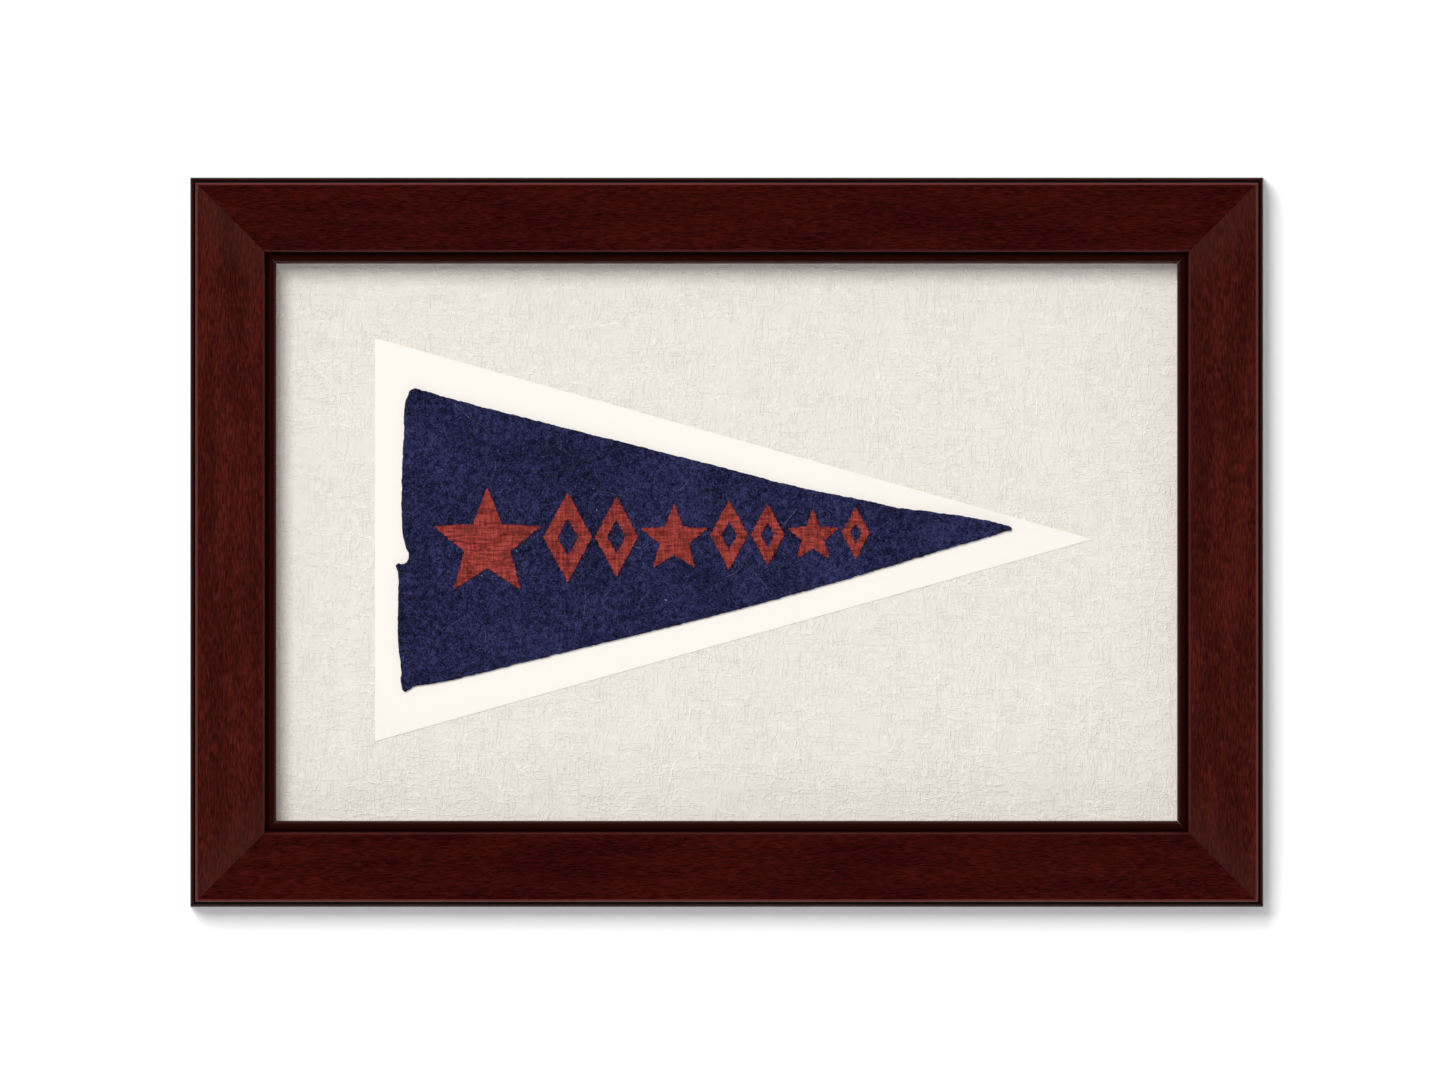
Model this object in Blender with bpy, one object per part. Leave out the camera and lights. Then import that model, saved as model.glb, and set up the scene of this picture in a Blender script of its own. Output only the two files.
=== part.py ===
"""Framed pennant flag, at its real size in metres, +Z up.

A navy felt pennant with a row of sewn-on woven cloth motifs is mounted on a cream
triangular card. The card lies on a linen-covered board, and a mitred wooden frame
holds the board in its rabbet. The picture faces -Y. The origin is the centre of the
flat back, which bears on the wall.
"""

import math

import bmesh
import bpy
from mathutils import Matrix

MM = 0.001

# Gap that touching pieces keep.
SEAT_GAP = 0.3 * MM

# Frame, seen face on.
FRAME_WIDTH = 536.5 * MM
FRAME_HEIGHT = 364.7 * MM

# Moulding section: across from the outer edge, and up from the flat back.
MOULDING_WIDTH = 43.1 * MM
MOULDING_DEPTH = 28.0 * MM
OUTER_BEAD_RADIUS = 2.0 * MM
OUTER_BEAD_TOP = 21.0 * MM
OUTER_QUIRK = 0.4 * MM
FACE_OUTER_RADIUS = 1.3 * MM
FACE_INNER_RADIUS = 0.9 * MM
FACE_INNER_EDGE = 37.1 * MM
INNER_QUIRK = 1.0 * MM
INNER_BEAD_FOOT = 20.8 * MM
INNER_BEAD_HEIGHT = 2.4 * MM
RABBET_WIDTH = 6.0 * MM
EDGE_SOFTENING = 0.6 * MM
ARC_STEPS = 6

# Sheets in the rabbet and on it, from the back to the front.
BOARD_THICKNESS = 4.0 * MM
LINEN_THICKNESS = 1.0 * MM
CARD_THICKNESS = 1.2 * MM
FELT_THICKNESS = 1.6 * MM
MOTIF_THICKNESS = 1.0 * MM
BOARD_CLEARANCE = 0.5 * MM

BOARD_FRONT = BOARD_THICKNESS
LINEN_BACK = BOARD_FRONT + SEAT_GAP
LINEN_FRONT = LINEN_BACK + LINEN_THICKNESS
CARD_BACK = LINEN_FRONT + SEAT_GAP
CARD_FRONT = CARD_BACK + CARD_THICKNESS
FELT_BACK = CARD_FRONT + SEAT_GAP
FELT_FRONT = FELT_BACK + FELT_THICKNESS
MOTIF_BACK = FELT_FRONT + SEAT_GAP
RABBET_DEPTH = LINEN_FRONT + SEAT_GAP

# Cream card: a triangle with its short side at the hoist.
CARD_HOIST_X = -175.9 * MM
CARD_TOP_Z = 102.1 * MM
CARD_BOTTOM_Z = -99.6 * MM
CARD_TIP_X = 182.8 * MM
CARD_TIP_Z = 1.5 * MM

# Felt outline in millimetres, clockwise from the top of the hoist edge.
# Columns: x, z, and whether the cut turns a sharp corner there.
FELT_OUTLINE = (
    (-157.4, 76.5, False),
    (-151.5, 75.8, False),
    (-142.4, 73.0, False),
    (-73.4, 55.4, False),
    (-6.4, 38.5, False),
    (39.6, 26.8, False),
    (66.6, 21.5, False),
    (87.6, 17.0, False),
    (101.6, 15.4, False),
    (129.6, 11.0, False),
    (138.8, 8.8, False),
    (142.4, 7.2, False),
    (138.8, 5.3, False),
    (108.6, -3.7, False),
    (80.6, -12.4, False),
    (38.6, -24.7, False),
    (-3.4, -36.0, False),
    (-87.4, -56.6, False),
    (-146.4, -70.7, False),
    (-156.4, -72.2, False),
    (-159.0, -73.9, False),
    (-161.3, -74.6, False),
    (-162.6, -72.4, False),
    (-162.9, -63.0, False),
    (-164.4, -50.0, False),
    (-164.2, -26.0, False),
    (-164.3, -16.0, False),
    (-165.5, -11.7, True),
    (-164.5, -10.5, False),
    (-162.2, -10.8, False),
    (-160.2, -10.0, True),
    (-158.9, -6.6, False),
    (-160.6, -2.6, False),
    (-162.1, 5.0, False),
    (-162.6, 24.0, False),
    (-161.6, 52.0, False),
    (-160.4, 71.0, False),
)
FELT_CURVE_STEPS = 4

# Row of motifs on the felt, from the hoist towards the tip.
# Columns: outline, height in millimetres.
MOTIF_ROW = (
    ("star", 50.0),
    ("lozenge", 44.0),
    ("lozenge", 39.0),
    ("star", 31.0),
    ("lozenge", 34.0),
    ("lozenge", 30.0),
    ("star", 24.0),
    ("lozenge", 25.0),
)
ROW_START_X = -146.0 * MM
ROW_GAP = 2.0 * MM
ROW_START_Z = 1.5 * MM
ROW_RISE = 0.014
LOZENGE_WIDTH_SHARE = 0.54
LOZENGE_OPENING_SHARE = 0.46
STAR_POINTS = 5
STAR_WAIST_SHARE = 0.43

# Colours as linear red, green and blue.
MAHOGANY = (0.046, 0.008, 0.006)
BOARD_BROWN = (0.30, 0.20, 0.11)
LINEN = (0.70, 0.66, 0.58)
CREAM = (0.90, 0.86, 0.78)
NAVY = (0.017, 0.018, 0.058)
BRICK_RED = (0.25, 0.038, 0.031)


def clear_scene():
    for old in list(bpy.data.objects):
        bpy.data.objects.remove(old)


def new_collection(name):
    collection = bpy.data.collections.new(name)
    bpy.context.scene.collection.children.link(collection)
    return collection


def plain_material(name, colour, roughness):
    material = bpy.data.materials.new(name)
    material.use_nodes = True
    surface = material.node_tree.nodes["Principled BSDF"]
    surface.inputs["Base Color"].default_value = (*colour, 1.0)
    surface.inputs["Roughness"].default_value = roughness
    surface.inputs["Metallic"].default_value = 0.0
    return material


def arc(centre, radii, start_deg, end_deg):
    """Points on an elliptical arc, with both of its ends."""
    points = []
    for step in range(ARC_STEPS + 1):
        angle = math.radians(start_deg + (end_deg - start_deg) * step / ARC_STEPS)
        points.append((centre[0] + radii[0] * math.cos(angle),
                       centre[1] + radii[1] * math.sin(angle)))
    return points


def moulding_section():
    """Outline of the moulding: x is across from the outer edge, y is up from the back."""
    face_start = OUTER_BEAD_RADIUS + OUTER_QUIRK
    bead_start = FACE_INNER_EDGE + INNER_QUIRK
    bead_half = (MOULDING_WIDTH - bead_start) / 2
    rabbet_wall = MOULDING_WIDTH - RABBET_WIDTH
    outline = [(EDGE_SOFTENING, 0.0), (0.0, EDGE_SOFTENING)]
    outline += arc((OUTER_BEAD_RADIUS, OUTER_BEAD_TOP - OUTER_BEAD_RADIUS),
                   (OUTER_BEAD_RADIUS, OUTER_BEAD_RADIUS), 180, 90)
    outline.append((face_start, OUTER_BEAD_TOP - OUTER_QUIRK))
    outline += arc((face_start + FACE_OUTER_RADIUS, MOULDING_DEPTH - FACE_OUTER_RADIUS),
                   (FACE_OUTER_RADIUS, FACE_OUTER_RADIUS), 180, 90)
    outline += arc((FACE_INNER_EDGE - FACE_INNER_RADIUS, MOULDING_DEPTH - FACE_INNER_RADIUS),
                   (FACE_INNER_RADIUS, FACE_INNER_RADIUS), 90, 0)
    outline.append((FACE_INNER_EDGE, INNER_BEAD_FOOT))
    outline += arc((bead_start + bead_half, INNER_BEAD_FOOT),
                   (bead_half, INNER_BEAD_HEIGHT), 180, 0)
    outline.append((MOULDING_WIDTH, RABBET_DEPTH))
    outline.append((rabbet_wall, RABBET_DEPTH))
    outline.append((rabbet_wall, 0.0))
    return outline


def flat_curve(name, outlines, thickness):
    """A filled flat curve, thick about its own plane. Outlines after the first are holes."""
    curve = bpy.data.curves.new(name, "CURVE")
    curve.dimensions = "2D"
    curve.fill_mode = "BOTH"
    curve.extrude = thickness / 2
    for outline in outlines:
        spline = curve.splines.new("POLY")
        spline.points.add(len(outline) - 1)
        for point, (x, y) in zip(spline.points, outline):
            point.co = (x, y, 0.0, 1.0)
        spline.use_cyclic_u = True
    return curve


def cut_with_plane(mesh_data, place, normal):
    """Removes what lies on the normal's side of the plane, and closes the cut."""
    everything = mesh_data.verts[:] + mesh_data.edges[:] + mesh_data.faces[:]
    cut = bmesh.ops.bisect_plane(mesh_data, geom=everything, plane_co=place,
                                 plane_no=normal, clear_outer=True)
    rim = [item for item in cut["geom_cut"] if isinstance(item, bmesh.types.BMEdge)]
    bmesh.ops.contextual_create(mesh_data, geom=rim)


def rail_mesh(name, length):
    """A length of moulding along local Z, mitred at both ends."""
    curve = flat_curve(name, [moulding_section()], length)
    holder = bpy.data.objects.new(name, curve)
    bpy.context.scene.collection.objects.link(holder)
    bpy.context.view_layer.update()
    graph = bpy.context.evaluated_depsgraph_get()
    mesh = bpy.data.meshes.new_from_object(holder.evaluated_get(graph))
    bpy.data.objects.remove(holder)
    bpy.data.curves.remove(curve)
    work = bmesh.new()
    work.from_mesh(mesh)
    bmesh.ops.remove_doubles(work, verts=work.verts, dist=0.01 * MM)
    half_joint = SEAT_GAP / 2
    for end in (-1, 1):
        mitre_normal = (math.sqrt(0.5), 0.0, end * math.sqrt(0.5))
        corner = (-half_joint * mitre_normal[0], 0.0,
                  end * length / 2 - half_joint * mitre_normal[2])
        cut_with_plane(work, corner, mitre_normal)
    bmesh.ops.recalc_face_normals(work, faces=work.faces)
    work.to_mesh(mesh)
    work.free()
    mesh.name = name
    mesh.shade_smooth()
    mesh.set_sharp_from_angle(angle=math.radians(25))
    return mesh


def add_frame(collection, wood):
    """Four mitred rails. Turning about Y takes the bottom rail to each side."""
    lying = Matrix(((0, 0, 1, 0), (0, -1, 0, 0), (1, 0, 0, 0), (0, 0, 0, 1)))
    sides = (
        ("rail_bottom", FRAME_WIDTH, FRAME_HEIGHT, 0),
        ("rail_left", FRAME_HEIGHT, FRAME_WIDTH, 90),
        ("rail_top", FRAME_WIDTH, FRAME_HEIGHT, 180),
        ("rail_right", FRAME_HEIGHT, FRAME_WIDTH, 270),
    )
    for name, length, span, turn in sides:
        rail = bpy.data.objects.new(name, rail_mesh(name, length))
        rail.data.materials.append(wood)
        outward = Matrix.Translation((0, 0, -span / 2))
        rail.matrix_world = Matrix.Rotation(math.radians(turn), 4, "Y") @ outward @ lying
        collection.objects.link(rail)


def add_panel(collection, name, size, back, thickness, material):
    """A rectangular sheet that stands upright, its back at that height above the wall."""
    mesh = bpy.data.meshes.new(name)
    work = bmesh.new()
    bmesh.ops.create_cube(work, size=1.0)
    bmesh.ops.scale(work, vec=(size[0], thickness, size[1]), verts=work.verts)
    work.to_mesh(mesh)
    work.free()
    panel = bpy.data.objects.new(name, mesh)
    panel.location = (0, -(back + thickness / 2), 0)
    panel.data.materials.append(material)
    collection.objects.link(panel)


def place_upright(sheet, x, back, thickness, z):
    """Turns a flat curve so that its face looks along -Y."""
    sheet.rotation_euler = (math.pi / 2, 0, 0)
    sheet.location = (x, -(back + thickness / 2), z)


def add_flat_sheet(collection, name, outlines, back, thickness, material, x=0.0, z=0.0):
    curve = flat_curve(name, outlines, thickness)
    curve.materials.append(material)
    sheet = bpy.data.objects.new(name, curve)
    place_upright(sheet, x, back, thickness, z)
    collection.objects.link(sheet)


def add_pennant(collection, felt):
    curve = bpy.data.curves.new("pennant", "CURVE")
    curve.dimensions = "2D"
    curve.fill_mode = "BOTH"
    curve.extrude = FELT_THICKNESS / 2
    curve.resolution_u = FELT_CURVE_STEPS
    spline = curve.splines.new("BEZIER")
    spline.bezier_points.add(len(FELT_OUTLINE) - 1)
    for point, (x, z, corner) in zip(spline.bezier_points, FELT_OUTLINE):
        point.co = (x * MM, z * MM, 0.0)
        point.handle_left_type = point.handle_right_type = "VECTOR" if corner else "AUTO"
    spline.use_cyclic_u = True
    curve.materials.append(felt)
    pennant = bpy.data.objects.new("pennant", curve)
    place_upright(pennant, 0.0, FELT_BACK, FELT_THICKNESS, 0.0)
    collection.objects.link(pennant)


def star_outlines(height):
    """A five-pointed star of that height, centred on its own box."""
    radius = height / (1 + math.cos(math.pi / STAR_POINTS))
    lift = height / 2 - radius
    points = []
    for corner in range(2 * STAR_POINTS):
        reach = radius if corner % 2 == 0 else radius * STAR_WAIST_SHARE
        angle = math.pi / 2 - corner * math.pi / STAR_POINTS
        points.append((reach * math.cos(angle), reach * math.sin(angle) + lift))
    return [points]


def lozenge_outlines(height):
    """An upright lozenge with a lozenge cut out of its middle."""
    tip = height / 2
    side = tip * LOZENGE_WIDTH_SHARE
    outer = [(0.0, tip), (side, 0.0), (0.0, -tip), (-side, 0.0)]
    return [outer, [(x * LOZENGE_OPENING_SHARE, y * LOZENGE_OPENING_SHARE) for x, y in outer]]


def add_motifs(collection, cloth):
    """Sews the row of motifs on, each one next to the last with the same gap."""
    shapes = {"star": star_outlines, "lozenge": lozenge_outlines}
    edge = ROW_START_X
    for number, (kind, height) in enumerate(MOTIF_ROW, start=1):
        outlines = shapes[kind](height * MM)
        half_width = max(x for x, _ in outlines[0])
        centre_x = edge + half_width
        centre_z = ROW_START_Z + ROW_RISE * (centre_x - ROW_START_X)
        add_flat_sheet(collection, f"motif_{number}_{kind}", outlines, MOTIF_BACK,
                       MOTIF_THICKNESS, cloth, centre_x, centre_z)
        edge = centre_x + half_width + ROW_GAP


def build():
    clear_scene()
    parts = new_collection("framed_pennant")
    wood = plain_material("mahogany", MAHOGANY, 0.35)
    board = plain_material("backing_board", BOARD_BROWN, 0.85)
    linen = plain_material("linen", LINEN, 0.9)
    card = plain_material("cream_card", CREAM, 0.8)
    felt = plain_material("navy_felt", NAVY, 0.95)
    cloth = plain_material("red_cloth", BRICK_RED, 0.85)

    add_frame(parts, wood)
    rabbet_gain = 2 * (RABBET_WIDTH - BOARD_CLEARANCE - MOULDING_WIDTH)
    board_size = (FRAME_WIDTH + rabbet_gain, FRAME_HEIGHT + rabbet_gain)
    add_panel(parts, "backing_board", board_size, 0.0, BOARD_THICKNESS, board)
    add_panel(parts, "linen_cover", board_size, LINEN_BACK, LINEN_THICKNESS, linen)
    card_corners = [(CARD_HOIST_X, CARD_TOP_Z), (CARD_TIP_X, CARD_TIP_Z),
                    (CARD_HOIST_X, CARD_BOTTOM_Z)]
    add_flat_sheet(parts, "mount_card", [card_corners], CARD_BACK, CARD_THICKNESS, card)
    add_pennant(parts, felt)
    add_motifs(parts, cloth)


build()
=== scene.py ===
"""The looks of the framed pennant flag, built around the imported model."""

import math

import bmesh
import bpy
import numpy as np
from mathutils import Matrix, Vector, noise


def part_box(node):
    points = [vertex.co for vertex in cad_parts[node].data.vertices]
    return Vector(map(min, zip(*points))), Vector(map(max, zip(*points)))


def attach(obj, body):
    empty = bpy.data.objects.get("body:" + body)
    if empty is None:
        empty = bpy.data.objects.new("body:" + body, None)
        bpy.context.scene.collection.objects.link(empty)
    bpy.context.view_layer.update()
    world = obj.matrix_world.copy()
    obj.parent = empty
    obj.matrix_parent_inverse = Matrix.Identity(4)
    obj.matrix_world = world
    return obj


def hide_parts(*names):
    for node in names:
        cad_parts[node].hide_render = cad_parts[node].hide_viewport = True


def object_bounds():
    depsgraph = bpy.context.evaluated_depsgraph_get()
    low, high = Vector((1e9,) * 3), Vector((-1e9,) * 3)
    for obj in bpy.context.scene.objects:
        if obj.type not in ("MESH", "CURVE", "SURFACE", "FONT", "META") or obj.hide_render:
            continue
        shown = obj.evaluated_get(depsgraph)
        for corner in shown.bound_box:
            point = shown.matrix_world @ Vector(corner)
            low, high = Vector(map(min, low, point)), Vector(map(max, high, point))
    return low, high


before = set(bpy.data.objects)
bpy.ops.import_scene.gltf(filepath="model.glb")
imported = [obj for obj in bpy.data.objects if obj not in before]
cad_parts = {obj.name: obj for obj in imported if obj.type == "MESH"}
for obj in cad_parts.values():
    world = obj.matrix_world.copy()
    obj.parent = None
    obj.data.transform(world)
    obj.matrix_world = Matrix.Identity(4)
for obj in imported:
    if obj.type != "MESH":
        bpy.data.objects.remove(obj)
cad_low, cad_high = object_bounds()
node_boxes = {name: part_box(name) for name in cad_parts}

MM = 0.001

# The photograph's frame, and the real size of one of its pixels.
PHOTO_WIDTH = 1445
PHOTO_HEIGHT = 1084
PIXEL = 0.5 * MM
FRAME_CENTRE_PX = (726.75, 542.25)

# Moulding section: across from the outer edge, and up from the flat back.
MOULDING_WIDTH = 43.1 * MM
MOULDING_DEPTH = 28.0 * MM
OUTER_BEAD_RADIUS = 2.0 * MM
OUTER_BEAD_TOP = 21.0 * MM
OUTER_QUIRK = 0.4 * MM
FACE_OUTER_RADIUS = 1.3 * MM
FACE_INNER_RADIUS = 0.9 * MM
FACE_INNER_EDGE = 37.1 * MM
INNER_QUIRK = 1.0 * MM
INNER_BEAD_FOOT = 20.8 * MM
INNER_BEAD_HEIGHT = 2.4 * MM
RABBET_WIDTH = 6.0 * MM
RABBET_DEPTH = 5.6 * MM
BACK_SOFTENING = 0.6 * MM
ARC_STEPS = 12
RAIL_STEPS = 110
MITRE_GROOVE_DEPTH = 0.12 * MM
MITRE_GROOVE_WIDTH = 0.3 * MM
RAIL_WAVER = 0.02 * MM
SIGHT_EDGE_CLEAR = 0.4 * MM

# Cloth and card.
LINEN_GRID = 1.3 * MM
LINEN_WAVE = 0.10 * MM
LINEN_SLUB = 0.05 * MM
CARD_EDGE = 0.15 * MM
CARD_SLOPE = 12 * MM
CARD_RINGS = 6
FELT_GRID = 0.8 * MM
FELT_EDGE_DROP = 0.5 * MM
FELT_EDGE_REACH = 0.7 * MM
FELT_EDGE_WANDER = 0.3 * MM
STRAND_REACH = 2.7 * MM
SHORTEST_STRAND = 0.12
YARN_PITCH = 0.92 * MM
YARN_SIDES = 6
WEFT_SIZE = (0.47 * YARN_PITCH, 0.17 * MM)
WEFT_RISE = 0.11 * MM
WARP_SIZE = (0.36 * YARN_PITCH, 0.14 * MM)
WARP_RISE = -0.12 * MM
GROUND_EDGE = 0.2 * MM
GROUND_SINK = 0.15 * MM
GROUND_THICKNESS = 0.35 * MM
YARN_HEIGHT = 0.58 * MM
SEED = 7

# What Geometry Nodes grow: the number for each square metre, and sizes.
SLUBS = {"Density": 11500.0, "Length": 15 * MM, "Radius": 0.25 * MM, "Wander": 8 * MM}
STRANDS = {"Density": 380000.0, "Length": 1.8 * MM, "Radius": 0.06 * MM}

# Loose hairs and lint: how many are tried and kept, how far from the rim, how high above the felt.
HAIR_TRIES = 260
HAIR_COUNT = 26
HAIR_MARGIN = 8 * MM
HAIR_LIFT = 0.10 * MM

# The key light, as tangents from straight ahead, and the light without shadows.
KEY_DISTANCE = 12.0
KEY_CENTRE = (-0.33, 0.44)
KEY_SIZE = (0.50, 0.60)
KEY_POWER = 1815.0
FILL_STRENGTH = 0.31

# How much brighter the open wall is lit than plain white, so that colours are divided by it.
LIGHT_LEVEL = 1.2

# Colours in linear light. Where there are several, they go from dark to bright.
LEVEL_WOOD = ((0.014, 0.0008, 0.0005), (0.0295, 0.0018, 0.0011), (0.057, 0.0034, 0.0020))
# The upright rails' tones are lighter and less red than the level rails': painted sheen on the same
# wood.
UPRIGHT_WOOD_WITH_SHEEN = ((0.020, 0.0021, 0.0015), (0.0430, 0.0046, 0.0028), (0.092, 0.0087, 0.0045))
BARE_WOOD = (0.060, 0.024, 0.015)
# The colour of the painted highlight on the face's rounded edges.
ARRIS_HIGHLIGHT = (0.150, 0.032, 0.028)
LINEN = (0.843, 0.791, 0.719)
TAN_SPECK = (0.50, 0.40, 0.29)
CREAM = (0.958, 0.902, 0.838)
NAVY_FELT = ((0.0016, 0.0017, 0.0060), (0.0083, 0.0088, 0.0345), (0.0385, 0.0400, 0.125))
NAVY_FIBRE = ((0.003, 0.003, 0.011), (0.050, 0.053, 0.158))
PALE_LINT = ((0.10, 0.11, 0.16), (0.42, 0.42, 0.46))
RED_COTTON = ((0.098, 0.0112, 0.0104), (0.262, 0.0335, 0.0268), (0.43, 0.0705, 0.0555))
# The sheet under the motifs' yarns: painted shade for the gaps between yarns and the cut edges.
GROUND_SHADE = ((0.030, 0.006, 0.006), (0.075, 0.012, 0.011))
BROWN_BOARD = ((0.13, 0.075, 0.038), (0.20, 0.125, 0.068), (0.27, 0.18, 0.105))


class Signal:
    """A node's output socket, on which Python's own arithmetic adds Math nodes."""

    def __init__(self, graph, socket):
        self.graph = graph
        self.socket = socket

    def math(self, operation, *others):
        return self.graph.math(operation, self, *others)

    def __add__(self, other):
        return self.math("ADD", other)

    def __sub__(self, other):
        return self.math("SUBTRACT", other)

    def __rsub__(self, other):
        return self.graph.math("SUBTRACT", other, self)

    def __mul__(self, other):
        return self.math("MULTIPLY", other)

    def __abs__(self):
        return self.math("ABSOLUTE")

    __radd__ = __add__
    __rmul__ = __mul__

    def fade(self, low, high):
        """0 below low, 1 above high and a smooth step between them."""
        return self.graph.node("ShaderNodeMapRange", {"interpolation_type": "SMOOTHSTEP"},
                               {"Value": self, "From Min": low, "From Max": high})

    def ramp(self, *stops):
        """A colour for each value, from (value, colour) stops."""
        return self.graph.node("ShaderNodeValToRGB", {"stops": stops}, {0: self})


class Graph:
    """A shader or geometry tree, filled one node at a time."""

    def __init__(self, tree):
        self.tree = tree

    def node(self, kind, settings=None, values=None, output=0):
        made = self.tree.nodes.new(kind)
        for name, value in (settings or {}).items():
            if name == "stops":
                self.set_stops(made.color_ramp, value)
            else:
                setattr(made, name, value)
        for key, value in (values or {}).items():
            if isinstance(value, Signal):
                self.tree.links.new(value.socket, made.inputs[key])
            else:
                made.inputs[key].default_value = value
        return Signal(self, made.outputs[output])

    @staticmethod
    def set_stops(ramp, stops):
        while len(ramp.elements) < len(stops):
            ramp.elements.new(1.0)
        for element, (place, colour) in zip(ramp.elements, stops):
            element.position = place
            element.color = (*colour, 1.0)

    def math(self, operation, *values):
        return self.node("ShaderNodeMath", {"operation": operation}, dict(enumerate(values)))

    def place(self, scale, offset=0.0):
        """Object coordinates in metres, stretched alike or by axis, and then moved."""
        here = self.node("ShaderNodeTexCoord", output="Object")
        scale = scale if isinstance(scale, tuple) else (scale,) * 3
        return self.node("ShaderNodeMapping", None,
                         {"Vector": here, "Location": (offset,) * 3, "Scale": scale})

    def axis(self, name):
        """One of the object's own coordinates, X, Y or Z."""
        here = self.node("ShaderNodeTexCoord", output="Object")
        return self.node("ShaderNodeSeparateXYZ", None, {0: here}, name)

    def noise(self, vector, detail=2.0, roughness=0.5, distortion=0.0):
        return self.node("ShaderNodeTexNoise", None,
                         {"Vector": vector, "Scale": 1.0, "Detail": detail,
                          "Roughness": roughness, "Distortion": distortion})

    def warp(self, vector, by, amount):
        """The vector, pushed about by a noise colour centred on nothing."""
        push = self.node("ShaderNodeTexNoise", None,
                         {"Vector": by, "Scale": 1.0, "Detail": 2.0}, "Color")
        centred = self.node("ShaderNodeVectorMath", {"operation": "SUBTRACT"},
                            {0: push, 1: (0.5, 0.5, 0.5)})
        return self.node("ShaderNodeVectorMath", {"operation": "MULTIPLY_ADD"},
                         {0: centred, 1: (amount,) * 3, 2: vector})

    def mix(self, factor, first, second):
        """Goes from the first colour to the second as the factor goes from 0 to 1."""
        values = {0: factor}
        for slot, colour in ((6, first), (7, second)):
            values[slot] = colour if isinstance(colour, Signal) else (*colour, 1.0)
        return self.node("ShaderNodeMix", {"data_type": "RGBA"}, values, 2)

    def tint(self, colour, factor):
        """The colour, brighter or darker by a factor that varies."""
        grey = self.node("ShaderNodeCombineColor", None, {0: factor, 1: factor, 2: factor})
        return self.node("ShaderNodeMix", {"data_type": "RGBA", "blend_type": "MULTIPLY"},
                         {0: 1.0, 6: colour, 7: grey}, 2)

    def bump(self, height, distance, strength=1.0):
        return self.node("ShaderNodeBump", None,
                         {"Height": height, "Distance": distance, "Strength": strength}, "Normal")


def lit(colour):
    """The surface colour that shows as this colour under the scene's light."""
    return tuple(channel / LIGHT_LEVEL for channel in colour)


def scaled(colour, *factors):
    """The colour times one factor, or times one for each channel."""
    return tuple(np.array(colour) * np.array(factors))


def new_material(name, fixed):
    """A material, its graph, and a function that feeds its Principled shader."""
    material = bpy.data.materials.new(name)
    material.use_nodes = True
    graph = Graph(material.node_tree)
    surface = material.node_tree.nodes["Principled BSDF"]
    for socket, value in fixed.items():
        surface.inputs[socket].default_value = value

    def feed(**signals):
        for socket, signal in signals.items():
            graph.tree.links.new(signal.socket, surface.inputs[socket.replace("_", " ")])

    return material, graph, feed


def band(place, centre, half_width, softness):
    """1 within half a width of the centre, fading to 0 beyond it."""
    return 1.0 - (abs(place - centre) - half_width).fade(0.0, softness)


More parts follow.
